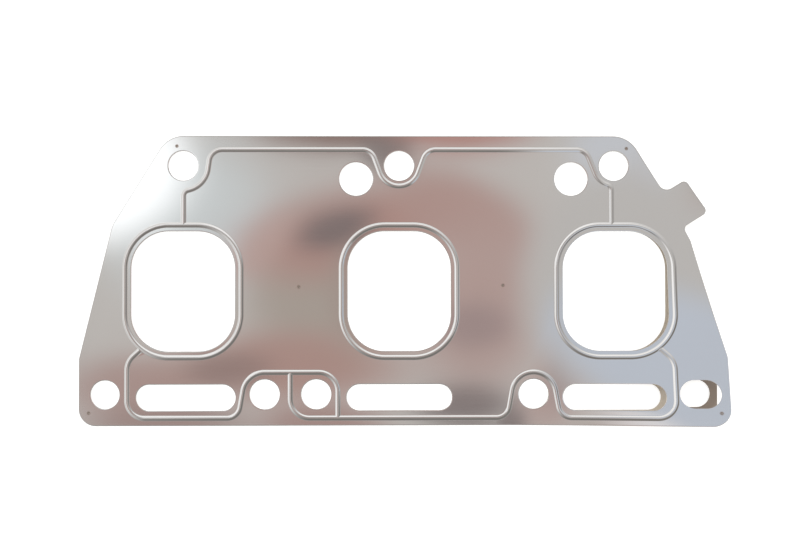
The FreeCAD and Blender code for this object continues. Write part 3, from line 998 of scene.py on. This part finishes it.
@dataclass
class WeldNuggets:
    """The nuggets, each a small plug that fills its hole in the sheets, dished on top."""

    welds: Welds = field(default_factory=Welds)
    roll: Roll = field(default_factory=Roll)
    sheet_thickness: float = SHEET_THICKNESS
    lower_level: float = 0.6
    inner_level: float = INNER_LEVEL
    shoulder: float = 0.12
    crown: float = 0.02
    rim: float = 0.22
    dish: float = 0.06
    hollow: float = 0.2
    sides: int = 32
    smooth_angle: float = 50.0

    def nugget(self, height: float, name: str) -> bpy.types.Object:
        """One nugget standing at the origin, modelled from a cylinder."""
        bpy.ops.object.select_all(action="DESELECT")
        bpy.ops.mesh.primitive_cylinder_add(vertices=self.sides, radius=self.welds.width / 2 * MM,
                                            depth=height * MM, location=(0, 0, height / 2 * MM))
        piece = bpy.context.object
        piece.name = name
        bpy.ops.object.transform_apply(location=True, rotation=True, scale=True)
        bpy.ops.object.mode_set(mode="EDIT")
        bpy.ops.mesh.select_mode(type="FACE")
        rings = ((self.shoulder, self.crown), (self.rim, -self.dish), (self.hollow, -self.dish / 3))
        for sign in (1.0, -1.0):
            self.select_cap(piece, sign)
            for inset, shift in rings:
                bpy.ops.mesh.inset(thickness=inset * MM, depth=0.0)
                bpy.ops.transform.translate(value=(0, 0, sign * shift * MM))
        bpy.ops.object.mode_set(mode="OBJECT")
        select_only(piece)
        bpy.ops.object.shade_smooth_by_angle(angle=math.radians(self.smooth_angle))
        return piece

    def select_cap(self, piece: bpy.types.Object, sign: float) -> None:
        """Selects the top or the bottom face, which is level and has more than four corners."""
        form = bmesh.from_edit_mesh(piece.data)
        for face in form.faces:
            face.select_set(face.normal.z * sign > 0.9 and len(face.verts) > 4)
        bmesh.update_edit_mesh(piece.data)

    def build(self) -> bpy.types.Object:
        """All nuggets as one piece, with the broken one in two halves.

        Returns:
            The piece.
        """
        sheet = self.sheet_thickness
        standing = [(spot, 2 * sheet) for spot in self.welds.sound] + [(self.welds.broken, sheet)]
        pieces = []
        for index, (spot, height) in enumerate(standing):
            piece = self.nugget(height, f"weld_{index}")
            place = [size * MM for size in (spot.real, spot.imag, self.lower_level)]
            piece.data.transform(Matrix.Translation(place))
            pieces.append(piece)
        cap = self.nugget(sheet, "weld_cap")
        places = np.array([self.welds.broken, self.welds.broken])
        foot, tip = self.roll.lay(places, np.array([0.0, 1.0]), self.inner_level)
        normal = Vector(tip - foot).normalized()
        turn = Vector((0, 0, 1)).rotation_difference(normal).to_matrix().to_4x4()
        cap.data.transform(Matrix.Translation(Vector(foot) * MM) @ turn)
        pieces.append(cap)
        bpy.ops.object.select_all(action="DESELECT")
        for piece in pieces:
            piece.select_set(True)
        bpy.context.view_layer.objects.active = pieces[0]
        bpy.ops.object.join()
        pieces[0].name = "weld_nuggets"
        return pieces[0]


# Surroundings

@dataclass(frozen=True)
class SoftPatch:
    """A soft patch of tone that the steel mirrors, as an ellipse with no hard edge."""

    what: str
    colour: str
    x: float
    y: float
    reach_x: float
    reach_y: float
    turn: float = 0.0
    core: float = 0.25
    gain: float = 1.0

    def spread(self, tree: Tree, place: Socket, unit: float) -> Socket:
        """How much of the patch shows at each place, from all in its core to none at its reach.

        Args:
            tree: The tree that takes the nodes.
            place: Places in the patch's own plane.
            unit: What one of the patch's units measures in those places.

        Returns:
            The socket with the share.
        """
        local = add(tree, "ShaderNodeMapping", {"vector_type": "TEXTURE"}, Vector=place,
                    Location=(self.x * unit, self.y * unit, 0.0),
                    Rotation=(0.0, 0.0, math.radians(self.turn)),
                    Scale=(self.reach_x * unit, self.reach_y * unit, 1.0)).outputs[0]
        away = vectors(tree, "LENGTH", local, output="Value")
        return ramp(tree, away, self.core, 1.0, 1.0, 0.0, "SMOOTHERSTEP")

    def over(self, tree: Tree, place: Socket, unit: float, tone: Tone) -> Socket:
        """The tone below with this patch laid over it."""
        red, green, blue, alpha = linear(self.colour)
        colour = (red * self.gain, green * self.gain, blue * self.gain, alpha)
        return mix(tree, self.spread(tree, place, unit), tone, colour, self.what)


@dataclass
class SideScreen:
    """A pale cool screen over the right end, seen only in reflections.

    The sprung corner mirrors this screen, and the flat sheet mirrors the room past its left side.
    """

    level: float = 100.0
    half_length: float = 260.0
    brightness: float = 1.72
    whole: SoftPatch = SoftPatch("whole screen", "#B9B7B5", 152, -5, 88, 112, core=0.55)
    patches: tuple[SoftPatch, ...] = (
        SoftPatch("cool light at the right", "#B9C0CB", 146, -28, 68, 62, core=0.45),
        SoftPatch("bright strip at the foot", "#DEDCDE", 104, -64, 30, 12, 20),
    )

    def build(self) -> bpy.types.Object:
        """The screen as an object that only reflections see."""
        bpy.ops.object.select_all(action="DESELECT")
        bpy.ops.mesh.primitive_plane_add(size=2.0 * self.half_length * MM,
                                         location=(0, 0, self.level * MM))
        screen = bpy.context.object
        screen.name = "side_screen"
        bpy.ops.object.transform_apply(location=True, rotation=True, scale=True)
        for ray in ("camera", "diffuse", "transmission", "volume_scatter", "shadow"):
            setattr(screen, "visible_" + ray, False)
        screen.data.materials.append(self.material())
        return screen

    def material(self) -> bpy.types.Material:
        """The screen's tones, fading out towards its rim."""
        material, tree = blank_material("side_screen")
        place = add(tree, "ShaderNodeTexCoord").outputs["Object"]
        flat = flattened(tree, place)
        tone = linear(self.whole.colour)
        for patch in self.patches:
            tone = patch.over(tree, flat, MM, tone)
        glow = add(tree, "ShaderNodeEmission", Color=tone, Strength=self.brightness)
        clear = add(tree, "ShaderNodeBsdfTransparent")
        surface(tree, add(tree, "ShaderNodeMixShader", i0=self.whole.spread(tree, flat, MM),
                          i1=clear.outputs[0], i2=glow.outputs[0]))
        return material


@dataclass
class Room:
    """The room that the steel mirrors, and the plain daylight in it.

    Straight above, the room has soft warm and dark shapes. Their places, the ceiling's and the dim
    ring's round it are the slopes of the line of sight, in hundredths. Lower down it is bright
    behind the gasket and to its left, where the windows are, and dim in front and to the right.
    """

    daylight: float = 0.9
    brightness: float = 1.72
    ceiling: str = "#BDBAB7"
    bright_side: str = "#F3F3F3"
    dim_side: str = "#75726F"
    horizon: str = "#ABA9A7"
    bright_horizon: str = "#CBC9C7"
    horizon_heights: tuple[float, float] = (0.2, 0.36)
    ceiling_centre: tuple[float, float] = (0.8, 7.8)
    ceiling_half: tuple[float, float] = (47.0, 21.5)
    ceiling_fade: float = 12.0
    ring: str = "#8E8B89"
    ring_slopes: tuple[float, float] = (60.0, 100.0)
    window_bearing: tuple[float, float, float] = (-0.6, 0.8, 0.0)
    bearing_span: tuple[float, float] = (-0.7, 0.75)
    least_height: float = 0.05
    patches: tuple[SoftPatch, ...] = (
        SoftPatch("cool grey by the window", "#C6CCCE", -31, 17, 20, 18),
        SoftPatch("cool light high at the right", "#C3C7CE", 33, 27, 10, 9),
        SoftPatch("grey green shade", "#A59D95", -11, 5, 19, 12),
        SoftPatch("warm shade low at the left", "#A8918C", -38, -8, 17, 7),
        SoftPatch("warm shade low", "#A98C85", -16, -5, 27, 8),
        SoftPatch("warm shade high", "#AC8B84", -7, 15, 26, 10, 12),
        SoftPatch("warm shade high at the right", "#AD918B", 10.5, 17.5, 18, 9, -26),
        SoftPatch("warm shade right of the middle", "#B09A95", 12.5, 4, 15, 20),
        SoftPatch("shade beside the middle port", "#A2948D", -5.5, 6, 6, 12),
        SoftPatch("red streak at the left", "#B69C96", -19.5, 13.5, 10, 4, 46),
        SoftPatch("dark thing high", "#716869", -8.8, 15.5, 9.5, 4.2, 17),
        SoftPatch("dark thing low left", "#8F7975", -25, -5.5, 10, 3.8),
        SoftPatch("dark edge at the top", "#7F655F", -8, 31, 20, 5.6),
        SoftPatch("dark thing by the middle stud", "#7D7675", -1, 27.5, 6, 5),
        SoftPatch("red edge at the top", "#AE7D75", 10, 31, 17, 5.4),
        SoftPatch("warm edge at the foot", "#9A8581", -34, -13.5, 19, 4),
        SoftPatch("red edge at the foot", "#9F827D", -11, -13.5, 15, 3.8),
        SoftPatch("warm shade by the right port", "#B5A39E", 24, 0, 9, 9),
        SoftPatch("dark thing low right", "#7C7272", 10.5, -11, 12, 5),
        SoftPatch("dark thing beside the port", "#9A8887", 12, 1, 9, 5),
        SoftPatch("bright window", "#F8FCFF", -45, 25.5, 19, 16, core=0.45, gain=1.25),
    )

    def build(self) -> None:
        """Sets the world: white to the camera, plain daylight, and the room in reflections."""
        world = bpy.data.worlds.new("daylight_room")
        bpy.context.scene.world = world
        world.use_nodes = True
        tree = world.node_tree
        tree.nodes.clear()
        rays = add(tree, "ShaderNodeLightPath").outputs
        mirrored = add(tree, "ShaderNodeBackground", Color=self.mirrored(tree),
                       Strength=self.brightness)
        white = add(tree, "ShaderNodeBackground", Color=WHITE, Strength=1.0)
        plain = add(tree, "ShaderNodeBackground", Color=WHITE, Strength=self.daylight)
        seen = maths(tree, "MAXIMUM", rays["Is Glossy Ray"], rays["Is Transmission Ray"])
        lit = add(tree, "ShaderNodeMixShader", i0=seen, i1=plain.outputs[0], i2=mirrored.outputs[0])
        shown = add(tree, "ShaderNodeMixShader", i0=rays["Is Camera Ray"], i1=lit.outputs[0],
                    i2=white.outputs[0])
        add(tree, "ShaderNodeOutputWorld", Surface=shown.outputs[0])

    def mirrored(self, tree: Tree) -> Socket:
        """The room's tone in each direction."""
        look = add(tree, "ShaderNodeTexCoord").outputs["Generated"]
        parts = add(tree, "ShaderNodeSeparateXYZ", Vector=look).outputs
        steep = maths(tree, "MAXIMUM", parts["Z"], self.least_height)
        slopes = [maths(tree, "DIVIDE", parts[axis], steep) for axis in ("X", "Y")]
        spot = add(tree, "ShaderNodeCombineXYZ", X=slopes[0], Y=slopes[1]).outputs[0]
        tone = linear(self.ceiling)
        for patch in self.patches:
            tone = patch.over(tree, spot, HUNDREDTH, tone)
        sides = self.sides(tree, flattened(tree, look), parts["Z"], steep)
        return mix(tree, self.beside_ceiling(tree, slopes), tone, sides)

    def sides(self, tree: Tree, level: Socket, height: Socket, steep: Socket) -> Socket:
        """The tone of the room's sides, evener at the horizon, with the dim ring above them.

        Args:
            tree: The tree that takes the nodes.
            level: The direction of sight without its height.
            height: That height.
            steep: The same height, kept off nought.

        Returns:
            The socket with the tone.
        """
        toward = vectors(tree, "DOT_PRODUCT", vectors(tree, "NORMALIZE", level),
                         self.window_bearing, output="Value")
        raised = ramp(tree, height, *self.horizon_heights)
        dim = mix(tree, raised, self.horizon, self.dim_side)
        bright = mix(tree, raised, self.bright_horizon, self.bright_side)
        sides = mix(tree, ramp(tree, toward, *self.bearing_span), dim, bright)
        slope = maths(tree, "DIVIDE", vectors(tree, "LENGTH", level, output="Value"), steep)
        inner, outer = self.ring_slopes
        return mix(tree, ramp(tree, slope, inner * HUNDREDTH, outer * HUNDREDTH), self.ring, sides)

    def beside_ceiling(self, tree: Tree, slopes: list[Socket]) -> Socket:
        """How far a direction has left the ceiling for the sides, from 0 to 1."""
        beyond = []
        for slope, centre, half in zip(slopes, self.ceiling_centre, self.ceiling_half):
            apart = maths(tree, "ABSOLUTE", maths(tree, "SUBTRACT", slope, centre * HUNDREDTH))
            beyond.append(maths(tree, "SUBTRACT", apart, half * HUNDREDTH))
        return ramp(tree, maths(tree, "MAXIMUM", *beyond), 0.0, self.ceiling_fade * HUNDREDTH)


@dataclass
class Studio:
    """White paper and plain soft light. The lamp's size and place are in metres."""

    floor_half: float = 3000.0
    paper: str = "#F2F1EF"
    paper_lift: float = 0.5
    lamp_power: float = 6.0
    lamp_size: float = 1.2
    lamp_place: tuple[float, float, float] = (-0.7, 0.6, 1.3)

    def build(self) -> None:
        """Lays the paper, hangs the screen and the lamp, and sets the room."""
        bpy.ops.object.select_all(action="DESELECT")
        bpy.ops.mesh.primitive_plane_add(size=2.0 * self.floor_half * MM, location=(0, 0, 0))
        floor = bpy.context.object
        floor.name = "paper_floor"
        floor.data.materials.append(self.paper_material())
        SideScreen().build()
        light = bpy.data.lights.new("soft_lamp", "AREA")
        light.shape = "DISK"
        light.size = self.lamp_size
        light.energy = self.lamp_power
        lamp = bpy.data.objects.new("soft_lamp", light)
        lamp.location = self.lamp_place
        lamp.rotation_euler = Vector(lamp.location).to_track_quat("Z", "Y").to_euler()
        lamp.visible_glossy = False
        bpy.context.scene.collection.objects.link(lamp)
        Room().build()

    def paper_material(self) -> bpy.types.Material:
        """White paper, a little over-exposed to the camera as in the photograph."""
        material, tree = blank_material("white_paper")
        rays = add(tree, "ShaderNodeLightPath").outputs
        seen = maths(tree, "MAXIMUM", rays["Is Camera Ray"], rays["Is Glossy Ray"])
        either = maths(tree, "MAXIMUM", seen, rays["Is Transmission Ray"])
        glow = add(tree, "ShaderNodeEmission", Color=WHITE,
                   Strength=maths(tree, "MULTIPLY", either, self.paper_lift))
        matt = add(tree, "ShaderNodeBsdfDiffuse", Color=linear(self.paper))
        both = add(tree, "ShaderNodeAddShader", i0=matt.outputs[0], i1=glow.outputs[0])
        # From below, the paper is left out, so that the gasket's under side can be looked at.
        behind = add(tree, "ShaderNodeNewGeometry").outputs["Backfacing"]
        clear = add(tree, "ShaderNodeBsdfTransparent")
        surface(tree, add(tree, "ShaderNodeMixShader", i0=behind, i1=both.outputs[0],
                          i2=clear.outputs[0]))
        return material


@dataclass(frozen=True)
class PhotoCamera:
    """The camera of the photograph: looking straight down, with the picture cropped at its foot."""

    place: tuple[float, float, float] = (-2.469, -26.581, 341.2)
    focal_length: float = 30.01
    tilt_x: float = -0.010442
    tilt_y: float = 0.009089
    roll: float = 0.0015175
    shift_x: float = -0.0006
    shift_y: float = 0.0737
    sensor_width: float = 36.0
    nearest: float = 0.01
    farthest: float = 20.0

    def build(self) -> None:
        """Adds the camera and makes it the scene's own."""
        lens = bpy.data.cameras.new("photo_camera")
        lens.lens = self.focal_length
        lens.sensor_width = self.sensor_width
        lens.shift_x = self.shift_x
        lens.shift_y = self.shift_y
        lens.clip_start = self.nearest
        lens.clip_end = self.farthest
        camera = bpy.data.objects.new("photo_camera", lens)
        turn = (Matrix.Rotation(-self.roll, 4, "Z") @ Matrix.Rotation(-self.tilt_x, 4, "X")
                @ Matrix.Rotation(-self.tilt_y, 4, "Y"))
        camera.matrix_world = Matrix.Translation(Vector(self.place) * MM) @ turn
        bpy.context.scene.collection.objects.link(camera)
        bpy.context.scene.camera = camera


def main() -> None:
    """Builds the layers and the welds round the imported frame, then the studio."""
    logging.basicConfig(level=logging.INFO, format="%(message)s")
    welds = Welds()
    cap = Roll().lay(np.array([welds.broken]), np.array([SHEET_THICKNESS]), 0.0)[0]
    tinted = welds.sound + (complex(cap[0], cap[1]),)
    edge = SHEARED_EDGE.material()
    inner = OiledInnerFaceWithPaintedShade().material()
    finishes = {
        LayerSide.UPPER: RolledStainless("bright_rolled_stainless_upper", tint_places=tinted),
        LayerSide.LOWER: RolledStainless("bright_rolled_stainless_lower"),
    }
    for side, finish in finishes.items():
        layer = SheetLayer(side)
        piece = layer.build()
        layer.dress(piece, finish.material(), edge, inner)
        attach(piece, "root")
        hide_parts(layer.name)
        log.info("%s: %d faces", piece.name, len(piece.data.polygons))
    nuggets = WeldNuggets().build()
    nuggets.data.materials.append(WELD_SCALE.material())
    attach(nuggets, "root")
    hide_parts("spot_welds")
    log.info("%s: %d faces", nuggets.name, len(nuggets.data.polygons))
    Studio().build()
    PhotoCamera().build()
    bpy.context.scene.view_settings.view_transform = "Standard"


if __name__ == "__main__":
    main()
